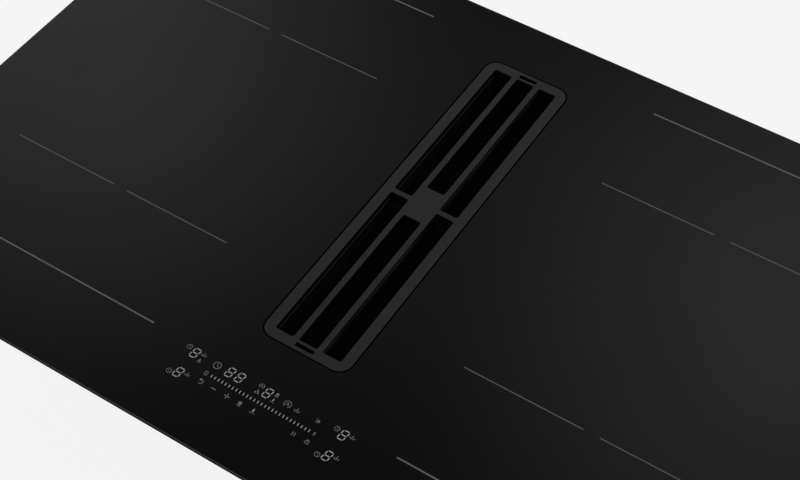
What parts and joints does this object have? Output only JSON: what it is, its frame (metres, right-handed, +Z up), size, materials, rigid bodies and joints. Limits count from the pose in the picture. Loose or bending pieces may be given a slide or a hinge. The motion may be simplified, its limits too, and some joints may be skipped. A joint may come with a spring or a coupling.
{
  "type": "downdraft induction cooktop",
  "caption": "Built-in induction cooktop in black glass, with a slotted intake grille flush in its middle and a blower, filter and duct connection underneath.",
  "frame": {"origin": "middle of the glass on the plane of the worktop that carries it, at the underside of the foam strip", "axes": "+X to the right along the front edge, +Y to the back, +Z up"},
  "size_m": [0.8, 0.52, 0.2105],
  "materials": {
    "black_glass": "glossy black ceramic glass",
    "foam": "closed-cell foam",
    "galvanised_steel": "galvanised",
    "black_metal": "satin black",
    "black_rubber": "matte",
    "black_plastic": "fine texture",
    "stainless": "brushed",
    "mesh_metal": "expanded mesh",
    "grey_plastic": "moulded",
    "spill_plastic": "moulded",
    "aluminium_sheet": "mill finish",
    "litz_copper": "enamelled wire",
    "carrier_plastic": "moulded",
    "ferrite": "sintered",
    "mica": "pressed sheet",
    "white_ceramic": "sintered",
    "circuit_board": "solder mask",
    "zinc_steel": "zinc plated",
    "display_plastic": "tinted",
    "terminal_plastic": "moulded",
    "motor_steel": "plated"
  },
  "bodies": {
    "housing": {"board_spacers": "white_ceramic", "cable_gland": "black_plastic", "clamp_brackets": "stainless", "clamp_screws": "zinc_steel", "coil_carrier_back_left": "carrier_plastic", "coil_carrier_back_right": "carrier_plastic", "coil_carrier_front_left": "carrier_plastic", "coil_carrier_front_right": "carrier_plastic", "coil_ferrites": "ferrite", "coil_plate_left": "aluminium_sheet", "coil_plate_right": "aluminium_sheet", "coil_sensors": "white_ceramic", "coil_supports": "carrier_plastic", "coil_winding_back_left": "litz_copper", "coil_winding_back_right": "litz_copper", "coil_winding_front_left": "litz_copper", "coil_winding_front_right": "litz_copper", "collar_seal": "black_rubber", "cooling_fan_frame_left": "black_plastic", "cooling_fan_frame_right": "black_plastic", "display_modules": "display_plastic", "fan_screws": "zinc_steel", "filter_board": "circuit_board", "flap_pin": "stainless", "glass_frame": "galvanised_steel", "glass_top": "black_glass", "heat_sinks": "aluminium_sheet", "housing_screws": "zinc_steel", "inlet_ring": "black_plastic", "intake_collar": "black_plastic", "intake_duct": "black_plastic", "mica_sheets": "mica", "motor_bearings": "stainless", "motor_dampers": "black_rubber", "motor_screws": "zinc_steel", "motor_stator": "motor_steel", "outlet_spigot": "grey_plastic", "plenum_pan": "grey_plastic", "power_board_left": "circuit_board", "power_board_right": "circuit_board", "rim_gasket": "foam", "rim_screws": "zinc_steel", "scroll_casing": "grey_plastic", "scroll_cover": "grey_plastic", "terminal_block": "terminal_plastic", "terminal_cover": "grey_plastic", "ui_board": "circuit_board", "ui_frame": "black_plastic", "upper_tray": "galvanised_steel"},
    "filter": {"filter_frame": "stainless", "filter_mesh": "mesh_metal", "filter_handle": "stainless"},
    "grille": {"grille": "black_metal", "grille_pads": "black_rubber"},
    "spill_tray": {"spill_tray": "spill_plastic"},
    "impeller": {"impeller": "black_plastic", "motor_rotor": "motor_steel"},
    "cooling_fan_left": {"cooling_fan_rotor_left": "black_plastic"},
    "cooling_fan_right": {"cooling_fan_rotor_right": "black_plastic"},
    "flap": {"backdraft_flap": "black_plastic"}
  },
  "joints": [
    {"name": "filter_lift", "type": "slide", "parent": "housing", "child": "filter", "axis": [0, 0, 1], "range_m": [0, 0.1]},
    {"name": "grille_lift", "type": "slide", "parent": "filter", "child": "grille", "axis": [0, 0, 1], "range_m": [0, 0.06]},
    {"name": "spill_slide", "type": "slide", "parent": "housing", "child": "spill_tray", "axis": [0, -1, 0], "range_m": [0, 0.36]},
    {"name": "impeller_spin", "type": "hinge", "parent": "housing", "child": "impeller", "pos_m": [0.186, 0, -0.105], "axis": [0, 0, 1], "continuous": true},
    {"name": "cooling_fan_left_spin", "type": "hinge", "parent": "housing", "child": "cooling_fan_left", "pos_m": [-0.288, 0.17, -0.05], "axis": [0, 0, 1], "continuous": true},
    {"name": "cooling_fan_right_spin", "type": "hinge", "parent": "housing", "child": "cooling_fan_right", "pos_m": [0.288, 0.17, -0.05], "axis": [0, 0, 1], "continuous": true},
    {"name": "flap_swing", "type": "hinge", "parent": "housing", "child": "flap", "pos_m": [0.231, 0.16, -0.0665], "axis": [1, 0, 0], "range_deg": [0, 80]}
  ]
}
